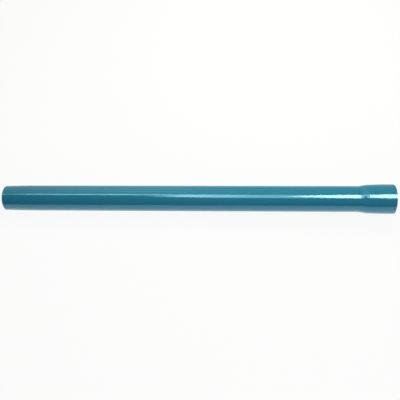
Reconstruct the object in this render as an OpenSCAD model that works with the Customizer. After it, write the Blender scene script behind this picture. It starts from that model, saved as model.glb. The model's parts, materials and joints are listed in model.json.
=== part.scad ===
// Suction extension tube, moulded in one piece.
// A plain pipe with a tapered spigot at one end and a belled socket at the other.
// The spigot of one tube pushes into the socket of the next and stays there by friction.
// The axis lies along X. The socket's mouth is at the origin and opens towards +X.

/* [Pipe] */
// Overall length, from the tip of the spigot to the mouth of the socket
tube_length = 485; // [250:1:1000]
// Outside diameter of the plain pipe
pipe_od = 32; // [28:0.5:50]
// Wall thickness of the pipe, the neck and the socket
wall = 2; // [1.2:0.1:3.5]

/* [Spigot] */
// Length of the spigot, from its tip to the plain pipe
spigot_length = 40; // [25:1:80]
// How much slimmer the tip is than the pipe, on the diameter
spigot_taper = 1; // [0.4:0.1:1.6]
// Straight stretch at the tip, which sits in the seat of the next socket
tip_land = 5; // [3:0.5:12]
// Rounding of the tip's outer edge
tip_edge = 1; // [0.3:0.1:1.2]
// Rounding of the tip's inner edge
tip_bore_edge = 0.25; // [0.1:0.05:0.4]

/* [Socket] */
// Length of the curved neck between the pipe and the socket
neck_length = 11.3; // [5:0.1:20]
// Length of the flare, from the neck to the straight mouth
flare_length = 22.5; // [18:0.5:40]
// Straight stretch at the mouth
mouth_land = 9; // [3:0.5:20]
// Rounding of the mouth's two edges
mouth_edge = 0.6; // [0.2:0.1:0.8]
// Length of the slope that leads a tip from the flare into the seat
lead_in = 1.5; // [0.5:0.1:4]

/* [Fit] */
// Radial clearance of a tip in the seat
seat_gap = 0.03; // [0.01:0.01:0.2]
// Radial clearance of a pipe in the mouth
mouth_gap = 0.15; // [0.05:0.05:0.5]

/* [Hidden] */

// Facets around the axis
round_facets = 180;
// Points along each curve of the outline
curve_steps = 12;
// Points along each rounded edge
edge_steps = 6;

// Radii of the pipe and the spigot
pipe_r = pipe_od / 2;
bore_r = pipe_r - wall;
tip_r = pipe_r - spigot_taper / 2;

// Radii inside the socket, set by the tip and the pipe that go into it
seat_r = tip_r + seat_gap;
mouth_r = pipe_r + mouth_gap;

// Places along the axis, from the mouth at 0 down to the tip
tip_z = -tube_length;
seat_z = -(mouth_land + flare_length);
neck_z = seat_z - neck_length;

// Edges are no rounder than these shares of the wall that they are on
tip_edge_r = min(tip_edge, 0.7 * (tip_r - bore_r));
tip_bore_edge_r = min(tip_bore_edge, 0.2 * (tip_r - bore_r));
mouth_edge_r = min(mouth_edge, 0.4 * wall);

// Goes from 0 to 1 and is level at both ends, as t goes from 0 to 1
function s_curve(t) = (1 - cos(180 * t)) / 2;

// Goes from 0 to 1 as t does, steep at first and level at the end
function levelling(t) = 1 - pow(1 - t, 2);

// A quarter of a circle about [r, z], from angle a on
function quarter(r, z, radius, a) = [
    for (i = [0 : edge_steps])
        let (b = a + 90 * i / edge_steps)
        [r + radius * cos(b), z + radius * sin(b)]
];

// Outside of the spigot: a straight land, then a curve that runs level into the pipe
function spigot_outline() = [
    for (i = [0 : curve_steps])
        let (t = i / curve_steps)
        [tip_r + (pipe_r - tip_r) * levelling(t), tip_z + tip_land + (spigot_length - tip_land) * t]
];

// The neck's S, at the outside with grow = wall and at the inside with grow = 0
function neck_outline(grow) = [
    for (i = [0 : curve_steps])
        let (t = i / curve_steps)
        [bore_r + (seat_r - bore_r) * s_curve(t) + grow, neck_z + neck_length * t]
];

// The flare from the distance start above the seat up to the mouth's straight land
function flare_outline(start, grow) = [
    for (i = [0 : curve_steps])
        let (along = start + (flare_length - start) * i / curve_steps)
        [seat_r + (mouth_r - seat_r) * levelling(along / flare_length) + grow, seat_z + along]
];

function reversed(points) = [for (i = [len(points) - 1 : -1 : 0]) points[i]];

function without_first(points) = [for (i = [1 : len(points) - 1]) points[i]];

// Half section through the wall, as [radius, place along the axis]:
// up the outside from the tip to the mouth, then down the inside
wall_section = concat(
    quarter(tip_r - tip_edge_r, tip_z + tip_edge_r, tip_edge_r, -90),
    spigot_outline(),
    neck_outline(wall),
    without_first(flare_outline(0, wall)),
    quarter(mouth_r + wall - mouth_edge_r, -mouth_edge_r, mouth_edge_r, 0),
    quarter(mouth_r + mouth_edge_r, -mouth_edge_r, mouth_edge_r, 90),
    reversed(flare_outline(tip_land + lead_in, 0)),
    [[seat_r, seat_z + tip_land]],
    reversed(neck_outline(0)),
    quarter(bore_r + tip_bore_edge_r, tip_z + tip_bore_edge_r, tip_bore_edge_r, 180)
);

module tube() {
    color([0.18, 0.49, 0.59])
        rotate([0, 90, 0])
            rotate_extrude($fn = round_facets)
                polygon(wall_section);
}

tube();
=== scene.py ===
"""A moulded suction tube, dressed and lit as a studio photograph.

The tube is one piece: a tapered spigot, a plain pipe, a curved neck and a belled socket.
Lengths are in metres. The tube's axis is X, and the socket's mouth is at the origin.
"""

import json

import bpy
import numpy as np
from bpy.props import FloatProperty, FloatVectorProperty, IntProperty, PointerProperty
from bpy.types import Operator, Panel, PropertyGroup
from mathutils import Matrix, Vector


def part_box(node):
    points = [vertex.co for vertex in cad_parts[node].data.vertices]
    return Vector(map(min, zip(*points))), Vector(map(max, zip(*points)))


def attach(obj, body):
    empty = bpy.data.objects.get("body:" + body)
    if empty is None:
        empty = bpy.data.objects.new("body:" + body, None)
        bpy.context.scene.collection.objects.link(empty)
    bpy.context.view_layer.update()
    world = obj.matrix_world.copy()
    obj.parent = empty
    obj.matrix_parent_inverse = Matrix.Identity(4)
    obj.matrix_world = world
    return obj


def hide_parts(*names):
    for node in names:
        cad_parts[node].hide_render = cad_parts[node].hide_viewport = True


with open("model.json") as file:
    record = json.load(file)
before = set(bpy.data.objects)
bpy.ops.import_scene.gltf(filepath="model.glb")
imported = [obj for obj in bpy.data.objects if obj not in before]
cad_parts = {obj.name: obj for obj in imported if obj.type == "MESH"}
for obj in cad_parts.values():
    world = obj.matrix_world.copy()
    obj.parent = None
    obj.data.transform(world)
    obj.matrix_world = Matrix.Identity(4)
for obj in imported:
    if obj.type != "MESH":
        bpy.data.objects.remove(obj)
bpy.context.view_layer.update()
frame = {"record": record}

bl_info = {
    "name": "Suction tube",
    "version": (1, 0, 0),
    "blender": (4, 5, 0),
    "location": "3D View > Sidebar > Suction tube",
    "description": "Makes a belled suction tube in glossy plastic and the studio round it",
    "category": "Add Mesh",
}

MILLIMETRE = 0.001


def fit(name):
    """Low end, high end and radius of the round fit of that name, along X in metres."""
    found = [m for m in frame["record"]["mounts"] if m["name"] == name][0]
    half = found["dims"]["length_mm"] * MILLIMETRE / 2
    middle = found["pos_m"][0]
    return middle - half, middle + half, found["dims"]["r_mm"] * MILLIMETRE


TUBE_LOW, TUBE_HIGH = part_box("tube")
TIP_START, TIP_END, TIP_RADIUS = fit("spigot")
PIPE_START, PIPE_END, PIPE_RADIUS = fit("pipe")
BORE_START, BORE_END, BORE_RADIUS = fit("air_passage")
SEAT_START, SEAT_END, SEAT_RADIUS = fit("socket_seat")
MOUTH_START, MOUTH_END, MOUTH_RADIUS = fit("socket")


# Sizes, colours and light


class TubeSizes(PropertyGroup):
    """Sizes of the tube, from the frame where it gives them."""

    length: FloatProperty(
        name="Length", description="From the spigot's tip to the socket's mouth",
        default=TUBE_HIGH.x - TUBE_LOW.x, min=0.2, max=1.0, unit="LENGTH")
    wall: FloatProperty(
        name="Wall", description="Thickness of the wall",
        default=-TUBE_LOW.z - MOUTH_RADIUS, min=0.001, max=0.004, unit="LENGTH")
    lead_in: FloatProperty(
        name="Lead-in", description="Length of the slope that leads a tip into the seat",
        default=1.5 * MILLIMETRE, min=0.0005, max=0.004, unit="LENGTH")
    sides: IntProperty(
        name="Sides", description="Steps around the axis",
        default=240, min=48, max=400)


class PlasticFinish(PropertyGroup):
    """Colour and surface of the moulded plastic."""

    colour: FloatVectorProperty(
        name="Colour", description="Petrol blue of the plastic",
        default=(0.024, 0.205, 0.33), size=3, min=0.0, max=1.0, subtype="COLOR")
    roughness: FloatProperty(
        name="Roughness", description="Roughness of the polished outside",
        default=0.12, min=0.02, max=0.6, subtype="FACTOR")
    inside_roughness: FloatProperty(
        name="Inside roughness", description="Roughness of the surface left by the core",
        default=0.3, min=0.02, max=0.8, subtype="FACTOR")
    gloss: FloatProperty(
        name="Refraction", description="Refractive index, which sets the strength of the gloss",
        default=1.6, min=1.4, max=1.8)
    gloss_tint: FloatVectorProperty(
        name="Gloss tint", description="Cool tint of the reflections on the plastic",
        default=(0.5, 0.93, 1.0), size=3, min=0.0, max=1.0, subtype="COLOR")


class StudioSettings(PropertyGroup):
    """Camera and light of the studio."""

    elevation: FloatProperty(
        name="Camera height", description="Angle that the camera looks down at",
        default=np.radians(63.0), min=0.0, max=1.57, subtype="ANGLE")
    distance: FloatProperty(
        name="Camera distance", description="From the tube's axis to the camera",
        default=0.64036, min=0.3, max=3.0, unit="LENGTH")
    stand: FloatProperty(
        name="Camera stand", description="Place of the camera along the tube, from the mouth",
        default=-0.19405, min=-1.0, max=0.5, unit="LENGTH")
    aim: FloatProperty(
        name="Camera aim", description="Place on the tube that the camera points at",
        default=-0.2365, min=-1.0, max=0.5, unit="LENGTH")
    aim_drop: FloatProperty(
        name="Aim drop", description="How far under the axis the camera points",
        default=1.707 * MILLIMETRE, min=-0.05, max=0.05, unit="LENGTH")
    roll: FloatProperty(
        name="Camera roll", description="Turn of the camera about its own view",
        default=0.0032, min=-0.1, max=0.1, subtype="ANGLE")
    lens: FloatProperty(
        name="Lens", description="Focal length on a 36 mm sensor, in millimetres",
        default=46.16, min=20.0, max=120.0)
    room_light: FloatProperty(
        name="Room light", description="Even light from all sides",
        default=0.25, min=0.0, max=1.0, subtype="FACTOR")
    top_power: FloatProperty(
        name="Top lamp", description="Power of the large lamp behind and above, in watts",
        default=3.0, min=0.0, max=50.0)
    front_power: FloatProperty(
        name="Front lamp", description="Power of the fill lamp on the camera's side, in watts",
        default=1.4, min=0.0, max=50.0)


# Shape of the tube


def s_curve(t):
    """From 0 to 1 and level at both ends: (1 - cos(pi t)) / 2."""
    return (1 - np.cos(np.pi * t)) / 2


def levelling(t):
    """From 0 to 1, steep at first and level at the end: 1 - (1 - t) squared."""
    return 1 - (1 - t) ** 2


def edge(x, radius, size, start, steps=10):
    """A quarter circle about [x, radius], from the angle start on, which is 0 along the radius."""
    angle = np.radians(start + np.linspace(0, 90, steps))
    return np.stack([x + size * np.sin(angle), radius + size * np.cos(angle)], 1)


def run(x_start, x_end, steps, radius):
    """Points from one place along the axis to another, where radius(t) gives the radius."""
    t = np.linspace(0, 1, steps)
    return np.stack([x_start + (x_end - x_start) * t, radius(t)], 1)


def wall_outline(sizes):
    """The wall's section as rows of [place along X, radius], and which rows lie inside the tube.

    It goes up the outside from the tip to the mouth and comes back down the bore. The spigot
    and the flare level out as 1 - (1 - t) squared, and the neck is half a cosine wave.
    """
    tip = -sizes.length
    wall = sizes.wall
    tip_edge = TIP_START - TUBE_LOW.x
    bore_edge = BORE_START - TUBE_LOW.x
    mouth_edge = -MOUTH_END
    flare_start = SEAT_END + sizes.lead_in

    def flare(x):
        share = (x - SEAT_START) / (MOUTH_START - SEAT_START)
        return SEAT_RADIUS + (MOUTH_RADIUS - SEAT_RADIUS) * levelling(share)

    outside = np.concatenate([
        edge(tip + tip_edge, TIP_RADIUS - tip_edge, tip_edge, 270),
        run(tip + tip_edge, TIP_END, 6, lambda t: TIP_RADIUS + 0 * t)[1:],
        run(TIP_END, PIPE_START, 36,
            lambda t: TIP_RADIUS + (PIPE_RADIUS - TIP_RADIUS) * levelling(t))[1:],
        run(PIPE_START, PIPE_END, 70, lambda t: PIPE_RADIUS + 0 * t)[1:],
        run(PIPE_END, SEAT_START, 40,
            lambda t: BORE_RADIUS + (SEAT_RADIUS - BORE_RADIUS) * s_curve(t) + wall)[1:],
        run(SEAT_START, MOUTH_START, 26,
            lambda t: flare(SEAT_START + (MOUTH_START - SEAT_START) * t) + wall)[1:],
        run(MOUTH_START, MOUTH_END, 10, lambda t: MOUTH_RADIUS + wall + 0 * t)[1:-1],
        edge(-mouth_edge, MOUTH_RADIUS + wall - mouth_edge, mouth_edge, 0),
    ])
    inside = np.concatenate([
        edge(-mouth_edge, MOUTH_RADIUS + mouth_edge, mouth_edge, 90),
        run(MOUTH_END, MOUTH_START, 10, lambda t: MOUTH_RADIUS + 0 * t)[1:],
        run(MOUTH_START, flare_start, 20,
            lambda t: flare(MOUTH_START + (flare_start - MOUTH_START) * t))[1:],
        run(flare_start, SEAT_END, 5,
            lambda t: flare(flare_start) + (SEAT_RADIUS - flare(flare_start)) * t)[1:],
        run(SEAT_END, SEAT_START, 8, lambda t: SEAT_RADIUS + 0 * t)[1:],
        run(SEAT_START, BORE_END, 36,
            lambda t: SEAT_RADIUS + (BORE_RADIUS - SEAT_RADIUS) * s_curve(t))[1:],
        run(BORE_END, BORE_START, 70, lambda t: BORE_RADIUS + 0 * t)[1:-1],
        edge(tip + bore_edge, BORE_RADIUS + bore_edge, bore_edge, 180, 6),
    ])
    is_inside = np.repeat([0.0, 1.0], [len(outside), len(inside)])
    return np.concatenate([outside, inside]), is_inside


def revolved(name, outline, sides):
    """A closed skin: each outline point [x, r] goes to (x, r sin a, r cos a) for a round the axis.

    The grid joins up both ways, so there is no seam and no pole. The UV map has the share
    of the turn in u and the share of the outline's length in v.
    """
    rows = len(outline)
    angle = np.arange(sides) * 2 * np.pi / sides
    x = np.repeat(outline[:, :1], sides, 1)
    y = outline[:, 1:] * np.sin(angle)
    z = outline[:, 1:] * np.cos(angle)
    points = np.stack([x, y, z], 2).reshape(-1, 3)

    row, side = np.meshgrid(np.arange(rows), np.arange(sides), indexing="ij")
    next_row = (row + 1) % rows
    next_side = (side + 1) % sides
    corners = [(row, side), (next_row, side), (next_row, next_side), (row, next_side)]
    faces = np.stack([r * sides + s for r, s in corners], 2).reshape(-1, 4)

    step = np.linalg.norm(np.roll(outline, -1, 0) - outline, axis=1)
    along = np.concatenate([[0], np.cumsum(step)]) / step.sum()
    u = np.stack([side, side, side + 1, side + 1], 2) / sides
    v = np.stack([along[row], along[row + 1], along[row + 1], along[row]], 2)

    mesh = bpy.data.meshes.new(name)
    mesh.from_pydata(points, [], faces)
    mesh.polygons.foreach_set("use_smooth", np.ones(len(faces), bool))
    layer = mesh.uv_layers.new(name="around_and_along")
    layer.data.foreach_set("uv", np.stack([u, v], 3).astype(np.float32).ravel())
    mesh.validate()
    mesh.update()
    return mesh


def add_object(name, data):
    """A new object with that data, linked to the scene."""
    made = bpy.data.objects.new(name, data)
    bpy.context.scene.collection.objects.link(made)
    return made


# Shader building


def add_node(tree, kind, inputs=None, **settings):
    """A node with its settings, and its inputs set to values or joined to other sockets."""
    made = tree.nodes.new(kind)
    for key, value in settings.items():
        setattr(made, key, value)
    for key, value in (inputs or {}).items():
        if isinstance(value, bpy.types.NodeSocket):
            tree.links.new(value, made.inputs[key])
        else:
            made.inputs[key].default_value = value
    return made


def calc(tree, operation, *values):
    """The result of a Math node."""
    inputs = dict(enumerate(values))
    return add_node(tree, "ShaderNodeMath", inputs, operation=operation).outputs[0]


def ramp(tree, value, low, high, start=0.0, end=1.0):
    """A smooth step of value: start up to low, end from high on."""
    inputs = {"Value": value, "From Min": low, "From Max": high, "To Min": start, "To Max": end}
    made = add_node(tree, "ShaderNodeMapRange", inputs, interpolation_type="SMOOTHSTEP")
    return made.outputs["Result"]


def band(tree, value, low, high, soft):
    """1 where value lies from low to high, falling smoothly to 0 over the width soft."""
    rise = ramp(tree, value, low - soft / 2, low + soft / 2)
    fall = ramp(tree, value, high - soft / 2, high + soft / 2, 1.0, 0.0)
    return calc(tree, "MULTIPLY", rise, fall)


def grain(tree, coordinates, stretch, scale, detail, roughness=0.5):
    """Noise from 0 to 1, where stretch gives the scale along each axis."""
    mapped = add_node(tree, "ShaderNodeMapping", {"Vector": coordinates, "Scale": stretch})
    inputs = {"Vector": mapped.outputs[0], "Scale": scale, "Detail": detail, "Roughness": roughness}
    return add_node(tree, "ShaderNodeTexNoise", inputs).outputs["Fac"]


def blank_material(name):
    """A material with an empty node tree and its output node."""
    made = bpy.data.materials.new(name)
    made.use_nodes = True
    made.node_tree.nodes.clear()
    return made, made.node_tree, add_node(made.node_tree, "ShaderNodeOutputMaterial")


def mix_colour(tree, share, first, second, blend="MIX"):
    """The colour output of a Mix Color node."""
    made = add_node(tree, "ShaderNodeMix", data_type="RGBA", blend_type=blend)
    for socket, value in ((made.inputs[0], share), (made.inputs[6], first), (made.inputs[7], second)):
        if isinstance(value, bpy.types.NodeSocket):
            tree.links.new(value, socket)
        else:
            socket.default_value = value
    return made.outputs[2]


def shade(colour, factor):
    """That colour, lighter or darker by the factor, with an alpha of 1."""
    return (*(channel * factor for channel in colour), 1.0)


def plastic_material(finish):
    """Glossy plastic: faint flow streaks in the colour, drawn lines and a slight orange peel."""
    material, tree, output = blank_material("moulded_plastic")
    place = add_node(tree, "ShaderNodeTexCoord").outputs["Object"]
    inside = add_node(tree, "ShaderNodeAttribute", attribute_name="inside").outputs["Fac"]

    streaks = grain(tree, place, (2.0, 60.0, 60.0), 1.0, 4.0)
    cloud = grain(tree, place, (9.0, 20.0, 20.0), 1.0, 2.0)
    tone = calc(tree, "ADD", calc(tree, "MULTIPLY", streaks, 0.6), calc(tree, "MULTIPLY", cloud, 0.4))
    colour = mix_colour(tree, tone, shade(finish.colour, 0.93), shade(finish.colour, 1.07))

    smudges = grain(tree, place, (14.0, 30.0, 30.0), 1.0, 3.0, 0.6)
    outside_rough = ramp(tree, smudges, 0.35, 0.75, finish.roughness * 0.85, finish.roughness * 1.2)
    rough = add_node(
        tree, "ShaderNodeMix",
        {"Factor": inside, "A": outside_rough, "B": finish.inside_roughness}).outputs["Result"]

    drawn = grain(tree, place, (3.0, 420.0, 420.0), 1.0, 3.0)
    peel = grain(tree, place, (260.0, 260.0, 260.0), 1.0, 1.0)
    wave = grain(tree, place, (16.0, 40.0, 40.0), 1.0, 1.0)
    height = calc(
        tree, "ADD", calc(tree, "MULTIPLY", drawn, 0.25),
        calc(tree, "ADD", calc(tree, "MULTIPLY", peel, 0.15), wave))
    bump = add_node(
        tree, "ShaderNodeBump", {"Height": height, "Strength": 1.0, "Distance": 0.00003})

    inputs = {
        "Base Color": colour,
        "Roughness": rough,
        "IOR": finish.gloss,
        "Specular Tint": shade(finish.gloss_tint, 1.0),
        "Normal": bump.outputs["Normal"],
    }
    skin = add_node(tree, "ShaderNodeBsdfPrincipled", inputs)
    tree.links.new(skin.outputs[0], output.inputs["Surface"])
    return material


# Studio


def resting_line(outline):
    """Height and slope along X of the surface that the tube lies on.

    A straight edge under the tube touches the lowest chord of the outline at mid length,
    which runs from the tip to the belled socket.
    """
    x, low = outline[:, 0], -outline[:, 1]
    middle = x.min() / 2
    left, right = np.nonzero(x < middle)[0], np.nonzero(x >= middle)[0]
    slope = (low[right][None] - low[left][:, None]) / (x[right][None] - x[left][:, None])
    height = low[left][:, None] + slope * (middle - x[left][:, None])
    best = np.unravel_index(height.argmin(), height.shape)
    return height[best] - slope[best] * middle, slope[best]


def floor_mesh(height, slope, reach, steps=12):
    """A flat square sheet, z = height + slope x, that reaches that far to each side."""
    ticks = np.linspace(-reach, reach, steps + 1)
    x, y = np.meshgrid(ticks, ticks, indexing="ij")
    points = np.stack([x, y, height + slope * x], 2).reshape(-1, 3)
    row, column = np.meshgrid(np.arange(steps), np.arange(steps), indexing="ij")
    first = row * (steps + 1) + column
    faces = np.stack([first, first + steps + 1, first + steps + 2, first + 1], 2).reshape(-1, 4)
    mesh = bpy.data.meshes.new("floor")
    mesh.from_pydata(points, [], faces)
    mesh.update()
    return mesh


def floor_material():
    """White paper. The camera sees it white with a faint shadow. In the tube's reflections the paper
    glows, with painted light in front of the tube and painted shade behind it.

    For the light that it throws back on the tube it is plain matt paper.
    """
    material, tree, output = blank_material("white_paper")
    path = add_node(tree, "ShaderNodeLightPath").outputs
    place = add_node(tree, "ShaderNodeTexCoord").outputs["Object"]
    away = add_node(tree, "ShaderNodeVectorMath", {0: place}, operation="LENGTH").outputs["Value"]
    depth = add_node(tree, "ShaderNodeSeparateXYZ", {0: place}).outputs["Y"]
    seen = ramp(tree, away, 0.6, 2.0, 1.0, 1.1)
    # Painted light and shade seen only in reflections: the paper glows 1.5 in front of the tube and
    # falls to 0.6 behind it
    painted_glow_in_reflections = ramp(tree, depth, -0.01, 0.02, 1.5, 0.6)
    strength = add_node(
        tree, "ShaderNodeMix",
        {"Factor": path["Is Glossy Ray"], "A": seen, "B": painted_glow_in_reflections}).outputs["Result"]
    bare = calc(tree, "MAXIMUM", path["Is Glossy Ray"], path["Is Transmission Ray"])
    share = calc(tree, "MAXIMUM", bare, calc(tree, "MULTIPLY", path["Is Camera Ray"], 0.92))
    paper = add_node(tree, "ShaderNodeBsdfDiffuse", {"Color": (0.8, 0.8, 0.8, 1.0)})
    light = add_node(tree, "ShaderNodeEmission", {"Color": (1, 1, 1, 1), "Strength": strength})
    both = add_node(
        tree, "ShaderNodeMixShader", {0: share, 1: paper.outputs[0], 2: light.outputs[0]})
    tree.links.new(both.outputs[0], output.inputs["Surface"])
    return material


def degrees(tree, radians):
    """An angle in degrees."""
    return calc(tree, "DEGREES", radians)


def room_world(studio):
    """White to the camera, a studio with ceiling panels in reflections, even light otherwise.

    A direction is given by two angles in degrees: along is how far it leans to +X, and over
    goes from 0 at the horizon on the camera's side, over 90 at the zenith, to 180 behind.
    """
    world = bpy.data.worlds.new("studio_room")
    world.use_nodes = True
    tree = world.node_tree
    tree.nodes.clear()
    direction = add_node(tree, "ShaderNodeTexCoord").outputs["Generated"]
    part = add_node(tree, "ShaderNodeSeparateXYZ", {0: direction}).outputs
    along = degrees(tree, calc(tree, "ARCSINE", part["X"]))
    front = calc(tree, "MULTIPLY", part["Y"], -1.0)
    over = degrees(tree, calc(tree, "ARCTAN2", part["Z"], front))

    # A long narrow lamp that fades to the left and ends over the middle of the tube
    thin = calc(
        tree, "MULTIPLY", ramp(tree, along, -29.0, -17.0, 2.0, 10.0),
        calc(tree, "MULTIPLY", ramp(tree, along, -9.0, -7.0, 1.0, 0.0),
             band(tree, over, 94.6, 100.6, 4.0)))
    # A short dim one beside it
    dim = calc(
        tree, "MULTIPLY", band(tree, along, -13.0, -8.2, 1.0),
        calc(tree, "MULTIPLY", band(tree, over, 125.0, 132.0, 3.0), 1.6))
    # A panel that fades from left to right
    fade = ramp(tree, along, -7.0, 5.0, 11.0, 4.2)
    low_edge = ramp(tree, along, -8.0, 4.0, 76.5, 70.0)
    panel_over = calc(
        tree, "MULTIPLY", ramp(tree, calc(tree, "SUBTRACT", over, low_edge), -1.5, 1.5),
        ramp(tree, over, 96.5, 101.5, 1.0, 0.0))
    panel = calc(
        tree, "MULTIPLY", ramp(tree, along, -8.0, -6.8), calc(tree, "MULTIPLY", fade, panel_over))
    # A bright panel with a slanted left end
    half_width = ramp(tree, along, 5.0, 13.0, 0.0, 13.6)
    off_middle = calc(tree, "ABSOLUTE", calc(tree, "SUBTRACT", over, 85.6))
    spare = calc(tree, "SUBTRACT", half_width, off_middle)
    bright = calc(
        tree, "MULTIPLY", calc(tree, "MULTIPLY", ramp(tree, spare, -0.7, 0.7), 28.0),
        ramp(tree, along, 5.0, 8.0))
    lamps = calc(tree, "MAXIMUM", calc(tree, "ADD", thin, dim), calc(tree, "MAXIMUM", panel, bright))

    wall = calc(
        tree, "MULTIPLY", ramp(tree, over, 97.0, 103.0),
        calc(tree, "MULTIPLY", ramp(tree, along, -30.0, -14.0, 0.65, 1.0),
             ramp(tree, along, -9.0, 3.0, 1.0, 0.38)))
    room = calc(tree, "ADD", lamps, wall)

    path = add_node(tree, "ShaderNodeLightPath").outputs
    lit = add_node(
        tree, "ShaderNodeMix",
        {"Factor": path["Is Glossy Ray"], "A": studio.room_light, "B": room}).outputs["Result"]
    seen = calc(tree, "MAXIMUM", path["Is Camera Ray"], path["Is Transmission Ray"])
    strength = add_node(
        tree, "ShaderNodeMix", {"Factor": seen, "A": lit, "B": 1.0}).outputs["Result"]
    inputs = {"Color": (1, 1, 1, 1), "Strength": strength}
    background = add_node(tree, "ShaderNodeBackground", inputs)
    output = add_node(tree, "ShaderNodeOutputWorld")
    tree.links.new(background.outputs[0], output.inputs["Surface"])
    return world


def look_from(place, target, upright=(0, 0, 1), roll=0.0):
    """The matrix of a camera or lamp at a place that points at a target, turned by roll."""
    back = (place - target).normalized()
    right = Vector(upright).cross(back).normalized()
    up = back.cross(right)
    turned = Matrix((right, up, back)).transposed() @ Matrix.Rotation(roll, 3, "Z")
    return Matrix.Translation(place) @ turned.to_4x4()


def add_softbox(name, place, target, size, power, colour):
    """A large soft lamp, which lights the tube and the floor but isn't mirrored in them."""
    lamp = bpy.data.lights.new(name, "AREA")
    lamp.shape = "RECTANGLE"
    lamp.size, lamp.size_y = size
    lamp.energy = power
    lamp.color = colour
    made = add_object(name, lamp)
    made.matrix_world = look_from(Vector(place), Vector(target))
    made.visible_camera = False
    made.visible_glossy = False
    return made


def add_camera(studio):
    """The camera, placed by its distance from the tube's axis and the point it aims at."""
    lean, height = np.cos(studio.elevation), np.sin(studio.elevation)
    back = Vector((0, -lean, height))
    up = Vector((0, height, lean))
    data = bpy.data.cameras.new("camera")
    data.lens = studio.lens
    data.sensor_width = 36.0
    camera = add_object("camera", data)
    place = Vector((studio.stand, 0, 0)) + studio.distance * back
    target = Vector((studio.aim, 0, 0)) - studio.aim_drop * up
    camera.matrix_world = look_from(place, target, up, studio.roll)
    bpy.context.scene.camera = camera
    return camera


# Operators


class TUBE_OT_make_tube(Operator):
    """Make the tube's skin with its plastic, in place of the plain solid"""

    bl_idname = "suction_tube.make_tube"
    bl_label = "Make tube"

    def execute(self, context):
        sizes = context.scene.suction_tube_sizes
        outline, is_inside = wall_outline(sizes)
        mesh = revolved("tube_skin", outline, sizes.sides)
        mask = mesh.attributes.new("inside", "FLOAT", "POINT")
        mask.data.foreach_set("value", np.repeat(is_inside, sizes.sides).astype(np.float32))
        mesh.materials.append(plastic_material(context.scene.suction_tube_finish))
        tube = add_object("tube_skin", mesh)
        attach(tube, "root")
        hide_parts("tube")
        return {"FINISHED"}


class TUBE_OT_make_stage(Operator):
    """Make the floor, the lamps, the room's light and the camera"""

    bl_idname = "suction_tube.make_stage"
    bl_label = "Make stage"

    def execute(self, context):
        studio = context.scene.suction_tube_studio
        outline, _ = wall_outline(context.scene.suction_tube_sizes)
        height, slope = resting_line(outline)
        floor = add_object("floor", floor_mesh(height, slope, 8.0))
        floor.data.materials.append(floor_material())
        middle = (-0.14, 0, 0)
        add_softbox(
            "top_lamp", (-0.14, 0.34, 0.44), middle, (0.4, 0.3), studio.top_power, (1.0, 0.98, 0.84))
        add_softbox(
            "front_lamp", (-0.1, -0.6, 0.35), middle, (0.5, 0.4), studio.front_power, (0.97, 0.98, 1.0))
        context.scene.world = room_world(studio)
        add_camera(studio)
        context.scene.view_settings.view_transform = "Standard"
        return {"FINISHED"}


class TUBE_PT_sidebar(Panel):
    """The tube's sizes and finish, the studio, and the buttons that make them"""

    bl_idname = "TUBE_PT_sidebar"
    bl_label = "Suction tube"
    bl_space_type = "VIEW_3D"
    bl_region_type = "UI"
    bl_category = "Suction tube"

    def draw(self, context):
        scene = context.scene
        groups = (scene.suction_tube_sizes, scene.suction_tube_finish, scene.suction_tube_studio)
        for group in groups:
            box = self.layout.box()
            for name in group.__annotations__:
                box.prop(group, name)
        self.layout.operator(TUBE_OT_make_tube.bl_idname)
        self.layout.operator(TUBE_OT_make_stage.bl_idname)


CLASSES = (
    TubeSizes,
    PlasticFinish,
    StudioSettings,
    TUBE_OT_make_tube,
    TUBE_OT_make_stage,
    TUBE_PT_sidebar,
)


def register():
    """Register the classes and put their settings on the scene."""
    for cls in CLASSES:
        bpy.utils.register_class(cls)
    bpy.types.Scene.suction_tube_sizes = PointerProperty(type=TubeSizes)
    bpy.types.Scene.suction_tube_finish = PointerProperty(type=PlasticFinish)
    bpy.types.Scene.suction_tube_studio = PointerProperty(type=StudioSettings)


def unregister():
    """Take the settings off the scene and unregister the classes."""
    del bpy.types.Scene.suction_tube_studio
    del bpy.types.Scene.suction_tube_finish
    del bpy.types.Scene.suction_tube_sizes
    for cls in reversed(CLASSES):
        bpy.utils.unregister_class(cls)


def main():
    """Make the tube and its stage."""
    register()
    bpy.ops.suction_tube.make_tube()
    bpy.ops.suction_tube.make_stage()


if __name__ == "__main__":
    main()
